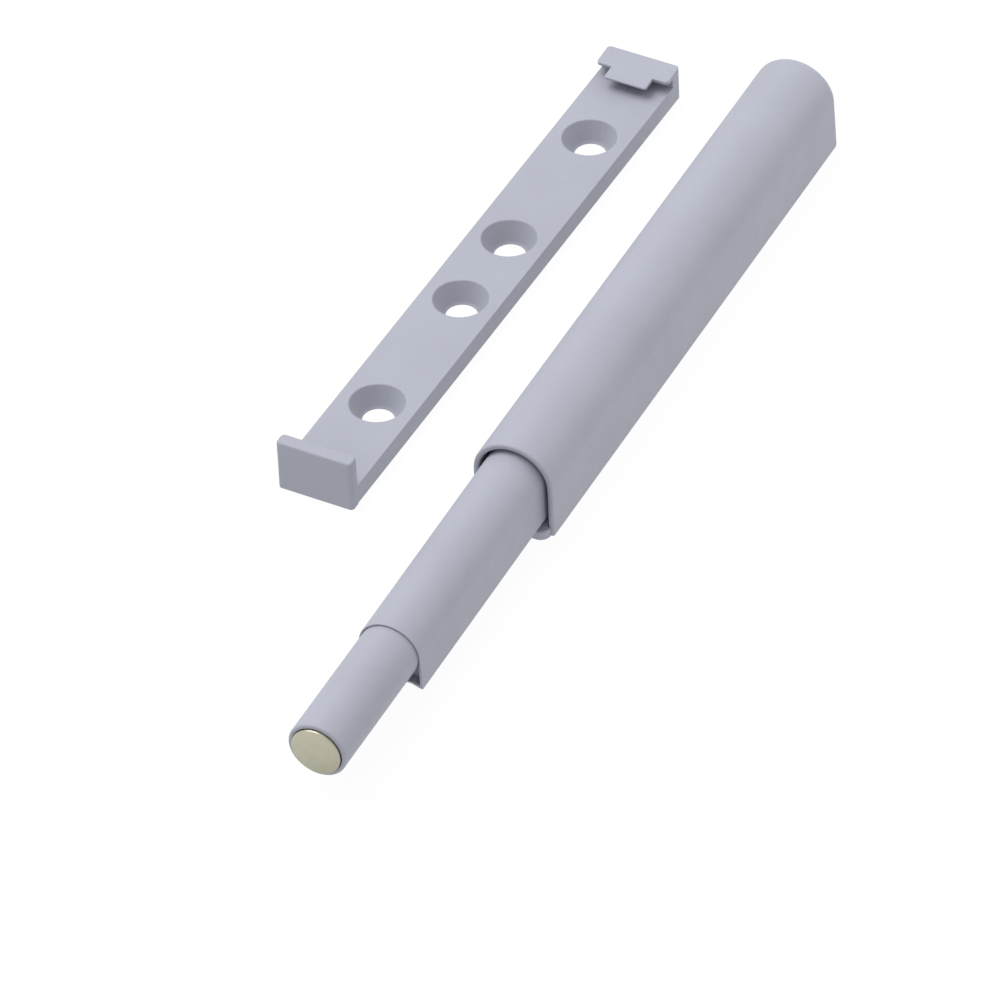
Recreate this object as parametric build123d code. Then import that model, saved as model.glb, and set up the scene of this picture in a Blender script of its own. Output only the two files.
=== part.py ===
from build123d import *
import math
import os

# Long-stroke push to open catch: a tombstone-section housing, a telescopic sleeve, a round
# plunger with a magnet in its nose, and a clip-on mounting plate that lies beside it.
# Millimetres, +Z up. X runs along the catch, +X is the way the plunger pops out.
# The origin is on the housing's flat base, midway between its sides, 40 mm behind its mouth.

# ---- driving dimensions -------------------------------------------------------------
# housing
HOUSING_FRONT = 40.0          # the mouth
HOUSING_REAR = -41.3          # at the base; the rear face leans in towards the top
REAR_LEAN = 0.85
CAVITY_REAR = -38.5
HOUSING_WIDTH = 10.5
HOUSING_SIDE_Z = 7.0          # height at which the straight sides turn into the arch
WALL = 0.75
REAR_ROUND = 1.75             # rounding of the closed end
MOUTH_ROUND = 0.3
MOUTH_INNER_ROUND = 0.3
# base cover
COVER_THICKNESS = 1.2
COVER_SIDE_GAP = 0.03
LIP_LENGTH = 1.35             # front lip of the cover, goes under the plate's hook
LIP_HALF_WIDTH = 4.85
LIP_CORNER = 1.3
BEAD_RADIUS = 0.25
BEAD_XS = (-28.0, 0.0, 28.0)
BEAD_LENGTH = 9.0
# axis of both moving stages
AXIS_Z = 6.6
# sleeve
SLEEVE_FRONT = 72.5           # 32.5 mm out of the mouth
SLEEVE_REAR = 19.0
# the sleeve is lofted between two outlines, each given as the spring height and the radius
# of its round top, its half width at the foot and the height of the foot
SLEEVE_REAR_OUTLINE = (7.33, 4.02, 4.04, 2.3)
SLEEVE_FRONT_OUTLINE = (6.6, 4.02, 4.16, 2.1)
SLEEVE_UNDERSIDE = 2.5        # flat middle of the floor, between the two low feet
SLEEVE_FLOOR = 0.3
FOOT_FLAT = 0.35
FOOT_INNER_Y = 2.7            # where each foot has risen to the underside
SLEEVE_FRONT_ROUND = 0.08
SLEEVE_BORE = 3.83
SLEEVE_CORNER_Z = 2.6         # bottom corners of the hollow, inside the feet
SLEEVE_LAND = 3.80
COLLAR_LENGTH = 3.0
COLLAR_GAP = 0.1
SLOT_HALF_WIDTH = 3.3
SLOT_FRONT = 30.0             # the plunger's foot stops here
STOP_TOP = 2.1
# plunger
PLUNGER_RADIUS = 3.75
PLUNGER_END = 91.1
NOSE_ROUND = 0.3
PLUNGER_BORE = 3.0
PLUNGER_BORE_END = 86.0
FOOT_BORE = 2.85
FOOT_REAR = 17.5
FOOT_HALF_WIDTH = 3.2
FOOT_BOTTOM = 2.15
TRACK_CEILING = 3.05
# magnet
MAGNET_RADIUS = 3.17
MAGNET_LENGTH = 3.0
MAGNET_GAP = 0.09
MAGNET_FACE = 91.5
# strokes
SLEEVE_STROKE = 32.5
PLUNGER_STROKE = 19.0
# rear block, rod, spring
BLOCK_LENGTH = 3.9
ROD_RADIUS = 1.5
ROD_FRONT = 16.0
SPRING_RADIUS = 2.4           # to the middle of the wire
SPRING_WIRE = 0.25            # radius of the wire
SPRING_TURNS = 34
# latch wire
WIRE_RADIUS = 0.35
WIRE_Z = 1.65
PIVOT_X = -36.5
TIP_X = -27.0
# mounting plate
PLATE_LENGTH = 86.65
PLATE_WIDTH = 10.0
PLATE_THICKNESS = 2.7
PLATE_CORNER = 0.5
END_LIP = 1.85
END_LIP_TOP = 7.15
END_LIP_HALF_WIDTH = 5.1
END_LIP_ROUND = 0.3
HOOK_TOP = 4.75               # at the hook end; the ledge falls towards the tongue
HOOK_SLOPE = 0.08
HOOK_UNDER = 4.0              # underside of the crossbar and its tongue
HOOK_LEAD = 0.1               # lead-in under their front edges
HOOK_WALL = 2.0
HOOK_BAR = 3.35
HOOK_CORNER = 0.5
HOOK_EDGE_ROUND = 0.1
TONGUE_LENGTH = 2.05
TONGUE_HALF_WIDTH = 2.9
HOLE_RADIUS = 2.0
HOLE_LAND = 0.12              # straight part of the hole, under the countersink
BOWL_KNEE = (2.3, 0.42)       # where the countersink's steep wall turns in to the hole
SINK_RADIUS = 3.5
SINK_ROUND = 0.2
HOLE_CENTRE = 43.8
OUTER_SPACING = 55.7
INNER_SPACING = 12.7
PLATE_AT = (45.51, -23.84)    # middle of the end lip's foot
PLATE_YAW = 178.59            # the plate lies very nearly parallel to the catch

os.makedirs("parts", exist_ok=True)


def tombstone(half_width, bottom, spring_z, x0, x1, arch=None):
    """Bar from x0 to x1 with a flat bottom, straight sides up to spring_z and a round top."""
    arch = half_width if arch is None else arch
    with BuildPart() as p:
        with BuildSketch(Plane(origin=(x0, 0, 0), x_dir=(0, 1, 0), z_dir=(1, 0, 0))):
            with BuildLine():
                Polyline(
                    (-half_width, spring_z),
                    (-half_width, bottom),
                    (half_width, bottom),
                    (half_width, spring_z),
                )
                ThreePointArc(
                    (half_width, spring_z), (0, spring_z + arch), (-half_width, spring_z)
                )
            make_face()
        extrude(amount=x1 - x0)
    return p.part


def xcyl(radius, x0, x1, y=0.0, z=AXIS_Z):
    """Round bar along X."""
    return Pos((x0 + x1) / 2, y, z) * Rot(0, 90, 0) * Cylinder(radius, x1 - x0)


def block(x0, x1, y0, y1, z0, z1):
    return Pos((x0 + x1) / 2, (y0 + y1) / 2, (z0 + z1) / 2) * Box(x1 - x0, y1 - y0, z1 - z0)


def prism(points, z0, z1):
    """Plan outline raised from z0 to z1."""
    face = make_face(Polyline(*[(x, y, z0) for x, y in points], close=True))
    return extrude(face, amount=z1 - z0, dir=(0, 0, 1))


def one(shape):
    """The single solid of a result."""
    solids = shape.solids()
    assert len(solids) == 1, len(solids)
    return solids[0]


# ---- housing ------------------------------------------------------------------------
hw = HOUSING_WIDTH / 2
height = HOUSING_SIDE_Z + hw


def rear_x(z):
    """Place of the leaning rear face at height z."""
    return HOUSING_REAR + REAR_LEAN * z / height


shell = tombstone(hw, 0, HOUSING_SIDE_Z, HOUSING_REAR - 1, HOUSING_FRONT)
cut = [(HOUSING_REAR - 5, -1), (rear_x(-1), -1), (rear_x(height + 1), height + 1)]
cut.append((HOUSING_REAR - 5, height + 1))
cut = make_face(Polyline(*[(x, -hw - 1, z) for x, z in cut], close=True))
shell = shell - extrude(cut, amount=2 * hw + 2, dir=(0, 1, 0))
rear_edges = [
    e
    for e in shell.edges()
    if all(abs((e @ u).X - rear_x((e @ u).Z)) < 1e-3 for u in (0, 0.5, 1))
]
assert len(rear_edges) == 4, len(rear_edges)
shell = fillet(rear_edges, REAR_ROUND)
mouth_edges = [
    e
    for e in shell.edges()
    if abs(e.center().X - HOUSING_FRONT) < 1e-3 and e.center().Z > 0.01
]
shell = fillet(mouth_edges, MOUTH_ROUND)
shell = shell - tombstone(hw - WALL, -1, HOUSING_SIDE_Z, CAVITY_REAR, HOUSING_FRONT + 1)
inner_mouth = [
    e
    for e in shell.edges()
    if abs(e.bounding_box().min.X - HOUSING_FRONT) < 1e-3
    and abs(e.bounding_box().max.X - HOUSING_FRONT) < 1e-3
    and max(abs(e.bounding_box().min.Y), abs(e.bounding_box().max.Y)) < hw - WALL + 0.01
    and e.bounding_box().max.Z < HOUSING_SIDE_Z + hw - WALL + 0.01
    and e.bounding_box().size.Z > 1
]
shell = fillet(inner_mouth, MOUTH_INNER_ROUND)
for x in BEAD_XS:
    for s in (-1, 1):
        shell = shell - xcyl(
            BEAD_RADIUS + 0.04,
            x - BEAD_LENGTH / 2 - 0.1,
            x + BEAD_LENGTH / 2 + 0.1,
            s * (hw - WALL),
            COVER_THICKNESS / 2,
        )
housing = one(shell)

# ---- base cover ---------------------------------------------------------------------
cw = hw - WALL - COVER_SIDE_GAP
cover = block(CAVITY_REAR + 0.05, HOUSING_FRONT, -cw, cw, 0, COVER_THICKNESS)
lip = block(
    HOUSING_FRONT, HOUSING_FRONT + LIP_LENGTH, -LIP_HALF_WIDTH, LIP_HALF_WIDTH, 0, COVER_THICKNESS
)
lip = fillet(
    [
        e
        for e in lip.edges().filter_by(Axis.Z)
        if abs(e.center().X - HOUSING_FRONT - LIP_LENGTH) < 1e-3
    ],
    LIP_CORNER,
)
lip = fillet(
    [
        e
        for e in lip.edges()
        if abs(e.center().Z - COVER_THICKNESS) < 1e-3 and e.center().X > HOUSING_FRONT + 0.02
    ],
    0.2,
)
cover = cover + lip
for x in BEAD_XS:
    for s in (-1, 1):
        bead = xcyl(
            BEAD_RADIUS, x - BEAD_LENGTH / 2, x + BEAD_LENGTH / 2, s * cw, COVER_THICKNESS / 2
        )
        cover = cover + bead
# two stop blocks for the sleeve's collar
STOP_X = SLEEVE_REAR + COLLAR_LENGTH
for s in (-1, 1):
    y0, y1 = sorted((s * 3.4, s * 4.3))
    cover = cover + block(STOP_X, STOP_X + 2.0, y0, y1, COVER_THICKNESS - 0.1, STOP_TOP)
# recess for the hold-down leaf
LEAF_HALF_WIDTH = 2.6
LEAF_REAR = -38.2
LEAF_FRONT = -25.4
RECESS_Z = 0.72
cover = cover - block(
    LEAF_REAR - 0.1,
    LEAF_FRONT + 0.3,
    -LEAF_HALF_WIDTH - 0.15,
    LEAF_HALF_WIDTH + 0.15,
    RECESS_Z,
    COVER_THICKNESS + 1,
)
base_cover = one(cover)

# ---- sleeve -------------------------------------------------------------------------
def sleeve_section(x, spring_z, arch, half_width, bottom):
    """Outline of the sleeve across X: round top, leaning sides, a low foot on each side."""
    right = [
        (arch, spring_z), (half_width, bottom), (half_width - FOOT_FLAT, bottom),
        (FOOT_INNER_Y, SLEEVE_UNDERSIDE),
    ]
    line = [(x, y, z) for y, z in right] + [(x, -y, z) for y, z in reversed(right)]
    sides = [Line(p, q) for p, q in zip(line[:-1], line[1:])]
    return make_face(sides + [ThreePointArc(line[-1], (x, 0, spring_z + arch), line[0])])


sl = loft(
    [
        sleeve_section(SLEEVE_REAR, *SLEEVE_REAR_OUTLINE),
        sleeve_section(SLEEVE_FRONT, *SLEEVE_FRONT_OUTLINE),
    ],
    ruled=True,
)
front_edges = [e for e in sl.edges() if abs(e.center().X - SLEEVE_FRONT) < 1e-3]
sl = fillet(front_edges, SLEEVE_FRONT_ROUND)
collar = tombstone(
    hw - WALL - COLLAR_GAP,
    COVER_THICKNESS + 0.1,
    HOUSING_SIDE_Z,
    SLEEVE_REAR,
    SLEEVE_REAR + COLLAR_LENGTH,
)
sl = sl + collar
# the hollow follows the outline but for two short round lands that the plunger bears on
lands = [(SLOT_FRONT, SLOT_FRONT + 6.0), (SLEEVE_FRONT - 6.0, SLEEVE_FRONT - 1.2)]
stations = [SLEEVE_REAR - 1] + [x for land in lands for x in land] + [SLEEVE_FRONT + 1]
for x0, x1 in zip(stations[0::2], stations[1::2]):
    sl = sl - tombstone(SLEEVE_BORE, SLEEVE_UNDERSIDE + SLEEVE_FLOOR, AXIS_Z, x0, x1)
    for side in (-1, 1):
        corner = [
            (side * FOOT_INNER_Y, SLEEVE_UNDERSIDE + SLEEVE_FLOOR + 0.1),
            (side * FOOT_INNER_Y, SLEEVE_UNDERSIDE + SLEEVE_FLOOR),
            (side * (SLEEVE_BORE - 0.3), SLEEVE_CORNER_Z),
            (side * SLEEVE_BORE, SLEEVE_CORNER_Z),
            (side * SLEEVE_BORE, SLEEVE_UNDERSIDE + SLEEVE_FLOOR + 0.1),
        ]
        face = make_face(Polyline(*[(x0, y, z) for y, z in corner], close=True))
        sl = sl - extrude(face, amount=x1 - x0, dir=(1, 0, 0))
for x0, x1 in lands:
    sl = sl - xcyl(SLEEVE_LAND, x0 - 0.5, x1 + 0.5)
# floor slot for the plunger's foot, open to the rear
sl = sl - block(
    SLEEVE_REAR - 1, SLOT_FRONT, -SLOT_HALF_WIDTH, SLOT_HALF_WIDTH, 0, SLEEVE_UNDERSIDE + 0.6
)
sleeve = one(sl)

# ---- plunger ------------------------------------------------------------------------
pl = xcyl(PLUNGER_RADIUS, FOOT_REAR, PLUNGER_END)
pl = fillet(
    [e for e in pl.edges() if abs(e.center().X - PLUNGER_END) < 1e-3], NOSE_ROUND
)
foot = block(
    FOOT_REAR, SLOT_FRONT, -FOOT_HALF_WIDTH, FOOT_HALF_WIDTH, FOOT_BOTTOM, AXIS_Z - 1
)
pl = pl + foot
pl = pl - xcyl(PLUNGER_BORE, SLOT_FRONT, PLUNGER_BORE_END)
pl = pl - xcyl(FOOT_BORE, FOOT_REAR - 1, SLOT_FRONT + 0.01)
pl = pl - xcyl(MAGNET_RADIUS + MAGNET_GAP, MAGNET_FACE - MAGNET_LENGTH, PLUNGER_END + 1)
# heart-shaped latch track, cut into the underside of the foot and open to the rear
u0 = FOOT_REAR
outer = [
    (u0 - 0.5, -2.75), (u0 + 1.2, -2.7), (u0 + 7.1, -2.7), (u0 + 8.0, -1.6),
    (u0 + 8.2, 0.0), (u0 + 8.0, 1.6), (u0 + 7.1, 2.7), (u0 + 1.2, 2.7), (u0 - 0.5, 2.75),
]
heart = [
    (u0 + 1.6, 0.0), (u0 + 2.6, -1.15), (u0 + 4.3, -1.25), (u0 + 4.9, -0.8),
    (u0 + 4.2, 0.0), (u0 + 4.9, 0.8), (u0 + 4.3, 1.25), (u0 + 2.6, 1.15),
]
track = prism(outer, FOOT_BOTTOM - 1, TRACK_CEILING) - prism(
    heart, FOOT_BOTTOM - 2, TRACK_CEILING + 1
)
pl = pl - track
plunger = one(pl)

# ---- magnet -------------------------------------------------------------------------
mg = xcyl(MAGNET_RADIUS, MAGNET_FACE - MAGNET_LENGTH, MAGNET_FACE)
mg = fillet(mg.edges().filter_by(GeomType.CIRCLE), 0.18)
magnet = one(mg)

# ---- rear block ---------------------------------------------------------------------
bx0 = CAVITY_REAR + 0.1
bx1 = bx0 + BLOCK_LENGTH
rb = tombstone(hw - WALL - 0.06, COVER_THICKNESS + 0.02, HOUSING_SIDE_Z, bx0, bx1)
rb = rb - xcyl(ROD_RADIUS + 0.01, bx0 + 0.6, bx1 + 1)
# pivot hole and the slot that the wire swings in
rb = rb - Pos(PIVOT_X, 0, 3.2) * Cylinder(WIRE_RADIUS + 0.05, 3.4)
rb = rb - prism(
    [(PIVOT_X - 0.9, -0.9), (bx1 + 0.5, -1.75), (bx1 + 0.5, 1.75), (PIVOT_X - 0.9, 0.9)],
    0,
    WIRE_Z + WIRE_RADIUS + 0.1,
)
# two feet that hold the leaf down in its recess
for s in (-1, 1):
    y0, y1 = sorted((s * 1.85, s * 2.45))
    rb = rb + block(bx0 + 0.3, bx1 - 0.3, y0, y1, RECESS_Z + 0.23, COVER_THICKNESS + 0.2)
# annular seat for the spring's end
rb = rb - (xcyl(SPRING_RADIUS + SPRING_WIRE + 0.12, bx1 - 0.8, bx1 + 1) - xcyl(2.0, bx1 - 2, bx1 + 2))
rear_block = one(rb)

# ---- guide rod ----------------------------------------------------------------------
rod = xcyl(ROD_RADIUS, bx0 + 0.62, ROD_FRONT)
rod = chamfer([e for e in rod.edges() if abs(e.center().X - ROD_FRONT) < 1e-3], 0.5)
guide_rod = one(rod)

# ---- main spring --------------------------------------------------------------------
sx0 = bx1 - 0.8 + SPRING_WIRE + 0.02
sx1 = PLUNGER_BORE_END - SPRING_WIRE - 0.02
pitch = (sx1 - sx0) / SPRING_TURNS
path = Helix(pitch, sx1 - sx0, SPRING_RADIUS, center=(0, 0, 0), direction=(0, 0, 1))
start = path @ 0
section = Plane(origin=start, z_dir=path % 0) * Circle(SPRING_WIRE)
coil = sweep(section, path=path, is_frenet=True)
coil = Pos(sx0, 0, AXIS_Z) * Rot(0, 90, 0) * coil
main_spring = one(coil)

# ---- latch wire ---------------------------------------------------------------------
wire_path = FilletPolyline(
    (PIVOT_X, 0, 4.6),
    (PIVOT_X, 0, WIRE_Z),
    (TIP_X, 0, WIRE_Z),
    (TIP_X, 0, 2.9),
    radius=0.6,
)
wire = sweep(
    Plane(origin=(PIVOT_X, 0, 4.6), z_dir=(0, 0, -1)) * Circle(WIRE_RADIUS), path=wire_path
)
latch_wire = one(wire)

# ---- hold-down leaf -----------------------------------------------------------------
t = 0.2
z0 = RECESS_Z + 0.01
leaf_line = [
    (LEAF_REAR, z0), (-32.5, z0), (-29.0, WIRE_Z - WIRE_RADIUS - 0.03 - t),
    (-27.6, WIRE_Z - WIRE_RADIUS - 0.03 - t), (LEAF_FRONT, z0 + 0.12),
    (LEAF_FRONT, z0 + 0.12 + t), (-27.6, WIRE_Z - WIRE_RADIUS - 0.03),
    (-29.0, WIRE_Z - WIRE_RADIUS - 0.03), (-32.5, z0 + t), (LEAF_REAR, z0 + t),
]
leaf_face = make_face(Polyline(*[(x, -LEAF_HALF_WIDTH, z) for x, z in leaf_line], close=True))
hold_down_leaf = one(extrude(leaf_face, amount=2 * LEAF_HALF_WIDTH, dir=(0, 1, 0)))

# ---- mounting plate -----------------------------------------------------------------
# own frame: x from the end lip (0) to the hook end, y across, z up
def ledge_z(x):
    """Height of the hook's top face."""
    return HOOK_TOP - HOOK_SLOPE * (PLATE_LENGTH - x)


def ledge(x_front, x_back, half_width):
    """Ledge at the hook's top with a lead-in chamfer under its front edge."""
    line = [
        (x_front, ledge_z(x_front)), (x_front, HOOK_UNDER + HOOK_LEAD),
        (x_front + 6 * HOOK_LEAD, HOOK_UNDER), (x_back, HOOK_UNDER), (x_back, ledge_z(x_back)),
    ]
    face = make_face(Polyline(*[(x, -half_width, z) for x, z in line], close=True))
    return extrude(face, amount=2 * half_width, dir=(0, 1, 0))


pw = PLATE_WIDTH / 2
bar_x = PLATE_LENGTH - HOOK_BAR
mp = block(0, PLATE_LENGTH, -pw, pw, 0, PLATE_THICKNESS)
mp = mp + block(PLATE_LENGTH - HOOK_WALL, PLATE_LENGTH, -pw, pw, 0, HOOK_UNDER + 0.2)
mp = mp + ledge(bar_x, PLATE_LENGTH, pw)
mp = mp + ledge(bar_x - TONGUE_LENGTH, bar_x + 1.0, TONGUE_HALF_WIDTH)
hook_end = [
    e
    for e in mp.edges().filter_by(Axis.Z)
    if abs(abs(e.center().Y) - pw) < 1e-3 and abs(e.center().X - PLATE_LENGTH) < 1e-3
]
mp = fillet(hook_end, HOOK_CORNER)
shoulders = [
    e
    for e in mp.edges().filter_by(Axis.Z)
    if abs(abs(e.center().Y) - pw) < 1e-3 and abs(e.center().X - bar_x) < 1e-3
]
mp = fillet(shoulders, HOOK_CORNER)
tongue_corners = [
    e
    for e in mp.edges().filter_by(Axis.Z)
    if abs(abs(e.center().Y) - TONGUE_HALF_WIDTH) < 1e-3
    and abs(e.center().X - bar_x + TONGUE_LENGTH) < 1e-3
]
mp = fillet(tongue_corners, 0.3)
end_lip = block(0, END_LIP, -END_LIP_HALF_WIDTH, END_LIP_HALF_WIDTH, 0, END_LIP_TOP)
end_lip = fillet(
    [e for e in end_lip.edges().filter_by(Axis.Z) if e.center().X < 1e-3], PLATE_CORNER
)
end_lip = fillet(
    [e for e in end_lip.edges().filter_by(Axis.Z) if e.center().X > END_LIP - 1e-3], 0.6
)
end_lip = fillet(
    [e for e in end_lip.edges() if abs(e.center().Z - END_LIP_TOP) < 1e-3], END_LIP_ROUND
)
mp = mp - block(-1, 1.0, -pw - 1, pw + 1, -1, PLATE_THICKNESS + 1) + end_lip
bowl = make_face(
    [
        Line((0, 0, -1), (HOLE_RADIUS, 0, -1)),
        Line((HOLE_RADIUS, 0, -1), (HOLE_RADIUS, 0, HOLE_LAND)),
        ThreePointArc(
            (HOLE_RADIUS, 0, HOLE_LAND), (2.18, 0, 0.24), (BOWL_KNEE[0], 0, BOWL_KNEE[1])
        ),
        Line((BOWL_KNEE[0], 0, BOWL_KNEE[1]), (SINK_RADIUS, 0, PLATE_THICKNESS)),
        Line((SINK_RADIUS, 0, PLATE_THICKNESS), (SINK_RADIUS, 0, PLATE_THICKNESS + 1)),
        Line((SINK_RADIUS, 0, PLATE_THICKNESS + 1), (0, 0, PLATE_THICKNESS + 1)),
        Line((0, 0, PLATE_THICKNESS + 1), (0, 0, -1)),
    ]
)
bowl = revolve(bowl, axis=Axis.Z)
for half in (OUTER_SPACING / 2, INNER_SPACING / 2):
    for s in (-1, 1):
        mp = mp - Pos(HOLE_CENTRE + s * half, 0, 0) * bowl
rims = [
    e
    for e in mp.edges().filter_by(GeomType.CIRCLE)
    if abs(e.center().Z - PLATE_THICKNESS) < 1e-3 and abs(e.radius - SINK_RADIUS) < 1e-3
]
assert len(rims) == 4, len(rims)
mp = fillet(rims, SINK_ROUND)
hook_outline = [
    e
    for e in mp.edges()
    if all(abs((e @ u).Z - ledge_z((e @ u).X)) < 2e-3 for u in (0, 0.5, 1))
]
mp = fillet(hook_outline, HOOK_EDGE_ROUND)
mounting_plate = one(
    Pos(PLATE_AT[0], PLATE_AT[1], 0) * Rot(0, 0, PLATE_YAW) * mp
)

# ---- write --------------------------------------------------------------------------
nodes = {
    "housing": housing,
    "base_cover": base_cover,
    "sleeve": sleeve,
    "plunger": plunger,
    "magnet": magnet,
    "rear_block": rear_block,
    "guide_rod": guide_rod,
    "main_spring": main_spring,
    "latch_wire": latch_wire,
    "hold_down_leaf": hold_down_leaf,
    "mounting_plate": mounting_plate,
}
for name, shape in nodes.items():
    export_step(shape, f"parts/{name}.step")
    print(name, round(shape.volume, 1))
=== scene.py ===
import math

import bpy
import bmesh
from mathutils import Matrix, Vector


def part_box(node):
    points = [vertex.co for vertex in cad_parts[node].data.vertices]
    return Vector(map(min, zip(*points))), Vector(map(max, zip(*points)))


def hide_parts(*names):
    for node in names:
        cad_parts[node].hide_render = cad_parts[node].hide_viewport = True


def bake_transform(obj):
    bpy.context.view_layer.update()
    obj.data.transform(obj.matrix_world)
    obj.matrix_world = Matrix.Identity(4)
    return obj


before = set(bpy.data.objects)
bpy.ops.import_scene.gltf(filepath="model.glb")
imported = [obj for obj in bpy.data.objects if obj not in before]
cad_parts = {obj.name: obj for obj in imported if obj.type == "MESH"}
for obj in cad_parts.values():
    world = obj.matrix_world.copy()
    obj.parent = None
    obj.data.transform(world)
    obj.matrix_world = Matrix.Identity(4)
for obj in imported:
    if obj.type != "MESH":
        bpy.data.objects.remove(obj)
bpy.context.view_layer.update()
scene = bpy.context.scene
scene.view_settings.view_transform = "Standard"
scene.view_settings.look = "None"
scene.view_settings.exposure = 0.0
scene.view_settings.gamma = 1.0


# ------------------------------------------------------------------ materials
class Net:
    """A small helper around one material's node tree."""

    def __init__(self, name):
        self.material = bpy.data.materials.new(name)
        self.material.use_nodes = True
        self.nodes = self.material.node_tree.nodes
        self.links = self.material.node_tree.links
        self.nodes.clear()
        self.out = self.nodes.new("ShaderNodeOutputMaterial")
        self.shader = self.nodes.new("ShaderNodeBsdfPrincipled")
        self.links.new(self.shader.outputs["BSDF"], self.out.inputs["Surface"])
        self.coords = self.nodes.new("ShaderNodeTexCoord").outputs["Object"]

    def stretched(self, scale):
        mapping = self.nodes.new("ShaderNodeMapping")
        mapping.inputs["Scale"].default_value = scale
        self.links.new(self.coords, mapping.inputs["Vector"])
        return mapping.outputs["Vector"]

    def noise(self, scale, detail=3.0, rough=0.5, vector=None):
        node = self.nodes.new("ShaderNodeTexNoise")
        node.inputs["Scale"].default_value = scale
        node.inputs["Detail"].default_value = detail
        node.inputs["Roughness"].default_value = rough
        self.links.new(vector or self.coords, node.inputs["Vector"])
        return node.outputs["Fac"]

    def spread(self, value, low, high, start=0.3, end=0.7):
        node = self.nodes.new("ShaderNodeMapRange")
        node.inputs["From Min"].default_value = start
        node.inputs["From Max"].default_value = end
        node.inputs["To Min"].default_value = low
        node.inputs["To Max"].default_value = high
        self.links.new(value, node.inputs["Value"])
        return node.outputs["Result"]

    def colours(self, value, stops):
        node = self.nodes.new("ShaderNodeValToRGB")
        ramp = node.color_ramp
        while len(ramp.elements) < len(stops):
            ramp.elements.new(0.5)
        for element, (place, colour) in zip(ramp.elements, stops):
            element.position = place
            element.color = (*colour, 1.0)
        self.links.new(value, node.inputs["Fac"])
        return node.outputs["Color"]

    def times(self, one, two):
        mix = self.nodes.new("ShaderNodeMix")
        mix.data_type = "RGBA"
        mix.blend_type = "MULTIPLY"
        mix.inputs["Factor"].default_value = 1.0
        self.links.new(one, mix.inputs[6])
        self.links.new(two, mix.inputs[7])
        return mix.outputs[2]

    def along(self, direction, start, end):
        """0 to 1 along a direction, between two distances from the origin."""
        dot = self.nodes.new("ShaderNodeVectorMath")
        dot.operation = "DOT_PRODUCT"
        dot.inputs[1].default_value = direction
        self.links.new(self.coords, dot.inputs[0])
        return self.spread(dot.outputs["Value"], 0.0, 1.0, start, end)

    def bump(self, height, strength, distance, under=None):
        node = self.nodes.new("ShaderNodeBump")
        node.inputs["Strength"].default_value = strength
        node.inputs["Distance"].default_value = distance
        self.links.new(height, node.inputs["Height"])
        if under is not None:
            self.links.new(under, node.inputs["Normal"])
        return node.outputs["Normal"]

    def to(self, socket, value):
        self.links.new(value, self.shader.inputs[socket])

    def set(self, **values):
        for socket, value in values.items():
            self.shader.inputs[socket.replace("_", " ")].default_value = value


def moulding(name, tone, rough, grain=1.0):
    """Satin moulded plastic: a faint cloudy tone, a fine spark-eroded grain, slow waviness of the cooled wall."""
    net = Net(name)
    cloud = net.noise(95.0, 4.0, 0.55)
    speck = net.noise(2600.0, 2.0, 0.6)
    pale = tuple(min(1.0, c * 1.028) for c in tone)
    deep = tuple(c * 0.965 for c in tone)
    base = net.colours(cloud, [(0.30, deep), (0.52, tone), (0.74, pale)])
    net.to("Base Color", net.times(base, net.colours(speck, [(0.25, (0.965,) * 3), (0.60, (1.0,) * 3)])))
    net.to("Roughness", net.spread(net.noise(420.0, 3.0, 0.6), rough - 0.045, rough + 0.055))
    wave = net.bump(net.noise(150.0, 1.0, 0.4), 0.22, 0.00012)
    net.to("Normal", net.bump(net.noise(7000.0, 2.0, 0.55), 0.20 * grain, 0.00003, wave))
    net.set(IOR=1.48)
    net.shader.inputs["Specular IOR Level"].default_value = 0.30
    return net.material


def brushed(name, tone, rough, stretch, lines, strength, stain=0.14, painted_shade=None):
    """Bare metal with fine drawing or lapping marks along one direction, and an optional painted shade that
    darkens the colour towards one side and lightens it towards the other.
    """
    net = Net(name)
    along = net.stretched(stretch)
    marks = net.noise(lines, 3.0, 0.65, along)
    cloud = net.noise(700.0, 3.0, 0.6)
    base = net.colours(cloud, [(0.28, tuple(c * (1 - stain) for c in tone)), (0.5, tone), (0.72, tuple(min(1.0, c * (1 + 0.4 * stain)) for c in tone))])
    # painted shade and painted light: the colour is multiplied darker towards one end of a direction and lighter
    # towards the other
    if painted_shade is not None:
        base = net.times(base, net.colours(net.along(*painted_shade), [(0.0, (0.82, 0.83, 0.81)), (0.5, (0.99, 0.99, 0.99)), (1.0, (1.10, 1.09, 1.08))]))
    net.to("Base Color", base)
    net.to("Roughness", net.spread(marks, rough - 0.07, rough + 0.10))
    net.to("Normal", net.bump(marks, strength, 0.00002))
    net.set(Metallic=1.0)
    return net.material


PLASTIC = (0.306, 0.314, 0.369)
plastic = moulding("satin_plastic", PLASTIC, 0.52)
acetal = moulding("acetal_plastic", (0.70, 0.70, 0.69), 0.40)
# The magnet's colour is painted darker towards its lower +y side and lighter towards its upper -y side. This is a
# painted shade and painted reflection gradient across its face.
low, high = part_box("magnet")
MIDDLE = 0.894 * (low.z + high.z) / 2 - 0.447 * (low.y + high.y) / 2
REACH = (high.z - low.z) / 2
PAINTED_SHADE_SLOPE = ((0.0, -0.447, 0.894), MIDDLE - REACH, MIDDLE + REACH)
nickel = brushed("plated_nickel", (0.455, 0.440, 0.350), 0.35, (1.0, 1.0, 1.0), 1500.0, 0.02, 0.05, PAINTED_SHADE_SLOPE)
steel = brushed("drawn_steel", (0.56, 0.57, 0.58), 0.26, (0.04, 1.0, 1.0), 5200.0, 0.16)
spring_steel = brushed("spring_steel", (0.46, 0.47, 0.49), 0.30, (1.0, 1.0, 1.0), 3000.0, 0.14)

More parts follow.
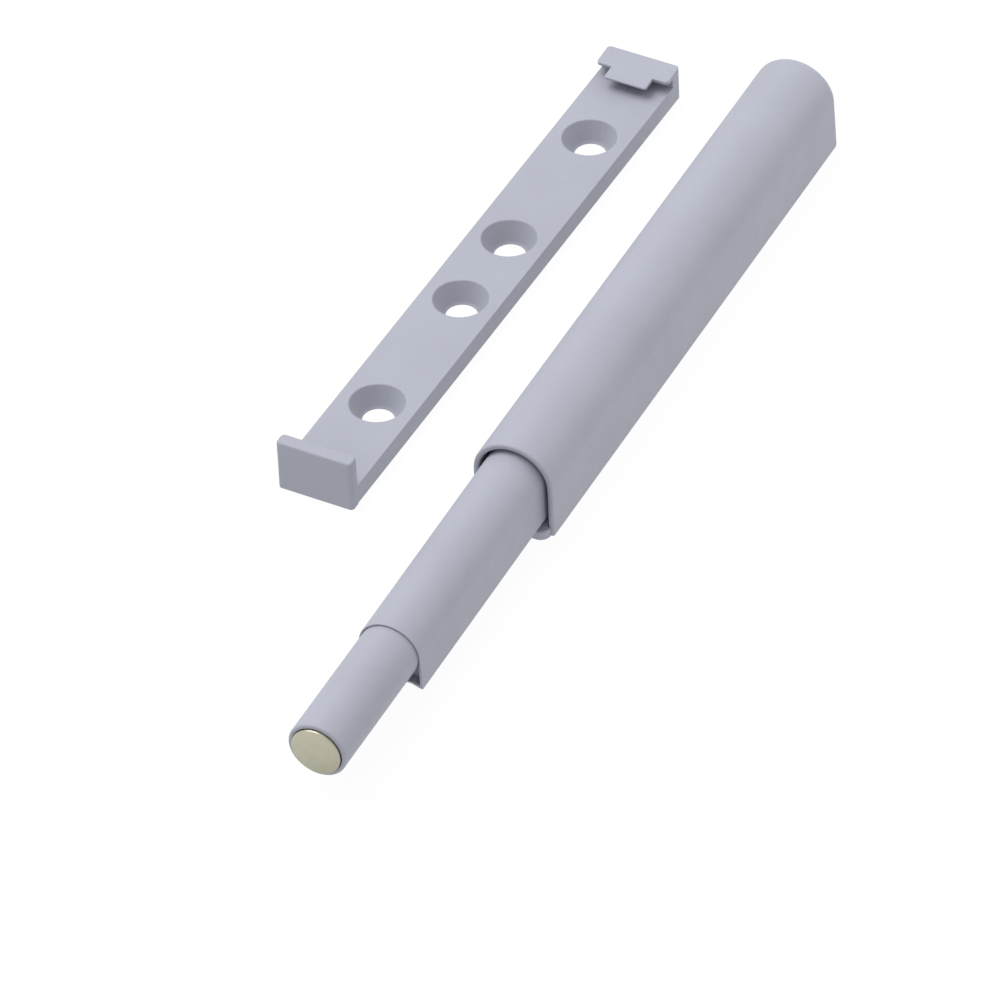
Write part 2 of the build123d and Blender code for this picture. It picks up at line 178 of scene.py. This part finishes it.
finish_of = {
    "housing": plastic,
    "base_cover": plastic,
    "mounting_plate": plastic,
    "sleeve": plastic,
    "plunger": plastic,
    "rear_block": acetal,
    "guide_rod": steel,
    "magnet": nickel,
    "latch_wire": spring_steel,
    "hold_down_leaf": spring_steel,
}
for node, material in finish_of.items():
    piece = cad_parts[node]
    if not piece.material_slots:
        piece.data.materials.append(material)
    for entry in piece.material_slots:
        entry.material = material


# ------------------------------------------------------------------ the spring
# One compression spring from the rear block to the inside of the plunger's nose. Its coils
# close up behind and in front of the sleeve separately, so it is drawn in two lengths that
# meet at one fixed point, JOIN_X.
MM = 0.001
low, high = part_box("main_spring")
WIRE = 0.25 * MM
COIL = (high.y - low.y) / 2 - WIRE
AXIS_Y = (high.y + low.y) / 2
AXIS_Z = (high.z + low.z) / 2
END_TURNS = 1.5
OPEN_TURNS = 31.0
JOIN_X = 30.0 * MM


def coil_line():
    """Points of the wire's middle line, with closed turns at both ends."""
    start, stop = low.x + WIRE, high.x - WIRE
    closed = 2.06 * WIRE
    free = (stop - start - 2 * END_TURNS * closed) / OPEN_TURNS
    steps = 28
    turns = int(round((2 * END_TURNS + OPEN_TURNS) * steps))
    line, x = [], start
    for i in range(turns + 1):
        angle = 2 * math.pi * i / steps
        line.append(Vector((x, AXIS_Y + COIL * math.cos(angle), AXIS_Z + COIL * math.sin(angle))))
        at = (i + 0.5) / steps
        inside = min(at, 2 * END_TURNS + OPEN_TURNS - at)
        share = max(0.0, min(1.0, (inside - END_TURNS + 0.35) / 0.7))
        share = share * share * (3 - 2 * share)
        x += (closed + (free - closed) * share) / steps
    last = line[-1].x
    for point in line:
        point.x = start + (point.x - start) * (stop - start) / (last - start)
    return line


def tube(name, line, radius, sides=10):
    bm = bmesh.new()
    rings = []
    for i, point in enumerate(line):
        ahead = (line[min(i + 1, len(line) - 1)] - line[max(i - 1, 0)]).normalized()
        outward = Vector((0, point.y - AXIS_Y, point.z - AXIS_Z)).normalized()
        outward = (outward - ahead * outward.dot(ahead)).normalized()
        across = ahead.cross(outward)
        rings.append([
            bm.verts.new(point + radius * (math.cos(2 * math.pi * k / sides) * outward + math.sin(2 * math.pi * k / sides) * across))
            for k in range(sides)
        ])
    for one, two in zip(rings, rings[1:]):
        for k in range(sides):
            bm.faces.new((one[k], one[(k + 1) % sides], two[(k + 1) % sides], two[k]))
    bm.faces.new(list(reversed(rings[0])))
    bm.faces.new(rings[-1])
    bmesh.ops.recalc_face_normals(bm, faces=bm.faces)
    mesh = bpy.data.meshes.new(name)
    bm.to_mesh(mesh)
    bm.free()
    for face in mesh.polygons:
        face.use_smooth = len(face.vertices) == 4
    made = bpy.data.objects.new(name, mesh)
    scene.collection.objects.link(made)
    mesh.materials.append(spring_steel)
    return made


wire = coil_line()
split = min(range(len(wire)), key=lambda i: abs(wire[i].x - JOIN_X))
rear_coils = tube("spring_rear_coils", wire[: split + 1], WIRE)
front_coils = tube("spring_front_coils", wire[split:], WIRE)
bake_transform(rear_coils)
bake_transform(front_coils)
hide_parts("main_spring")
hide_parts("main_spring")


# ------------------------------------------------------------------ floor, light, camera
bpy.ops.mesh.primitive_plane_add(size=8.0, location=(0.0, 0.0, -0.00005))
floor = bpy.context.object
floor.name = "studio_floor"
ground = Net("studio_floor_white")
ground.to("Base Color", ground.colours(ground.noise(3.0, 2.0, 0.5), [(0.3, (0.05, 0.05, 0.05)), (0.7, (0.06, 0.06, 0.06))]))
ground.shader.inputs["Specular IOR Level"].default_value = 0.0
ground.set(Roughness=0.9, Emission_Strength=0.94)
ground.shader.inputs["Emission Color"].default_value = (1, 1, 1, 1)
floor.data.materials.append(ground.material)

world = bpy.data.worlds.new("studio")
scene.world = world
world.use_nodes = True
world.node_tree.nodes["Background"].inputs["Color"].default_value = (1.0, 1.0, 1.0, 1.0)
world.node_tree.nodes["Background"].inputs["Strength"].default_value = 0.92


def softbox(name, place, aim, size, watts):
    data = bpy.data.lights.new(name, "AREA")
    data.shape = "RECTANGLE"
    data.size, data.size_y = size
    data.energy = watts
    data.color = (1.0, 1.0, 1.0)
    lamp = bpy.data.objects.new(name, data)
    lamp.location = place
    lamp.rotation_euler = (Vector(aim) - Vector(place)).to_track_quat("-Z", "Y").to_euler()
    lamp.visible_camera = False
    scene.collection.objects.link(lamp)
    return lamp


AIM = Vector((0.025, -0.012, 0.005))
KEY = Vector((-0.12, -0.47, 0.88)).normalized()
softbox("softbox_key", AIM + 1.6 * KEY, AIM, (1.2, 1.2), 20.9)
softbox("softbox_side", (-0.17, 0.13, 0.1), (-0.04, 0.0, 0.006), (0.12, 0.12), 0.085)

RIGHT = Vector((-0.442522, 0.896011, -0.036581))
UP = Vector((-0.604992, -0.268186, 0.749707))
BACK = Vector((0.661936, 0.353893, 0.660758))
EYE = Vector((0.821427, 0.415980, 0.783291))
lens = bpy.data.cameras.new("camera")
lens.sensor_fit = "HORIZONTAL"
lens.sensor_width = 36.0
lens.lens = 357.352
lens.clip_start = 0.01
lens.clip_end = 50.0
lens.dof.use_dof = False
camera = bpy.data.objects.new("camera", lens)
turn = Matrix((RIGHT, UP, BACK)).transposed()
camera.matrix_world = Matrix.Translation(EYE) @ turn.to_4x4()
scene.collection.objects.link(camera)
scene.camera = camera
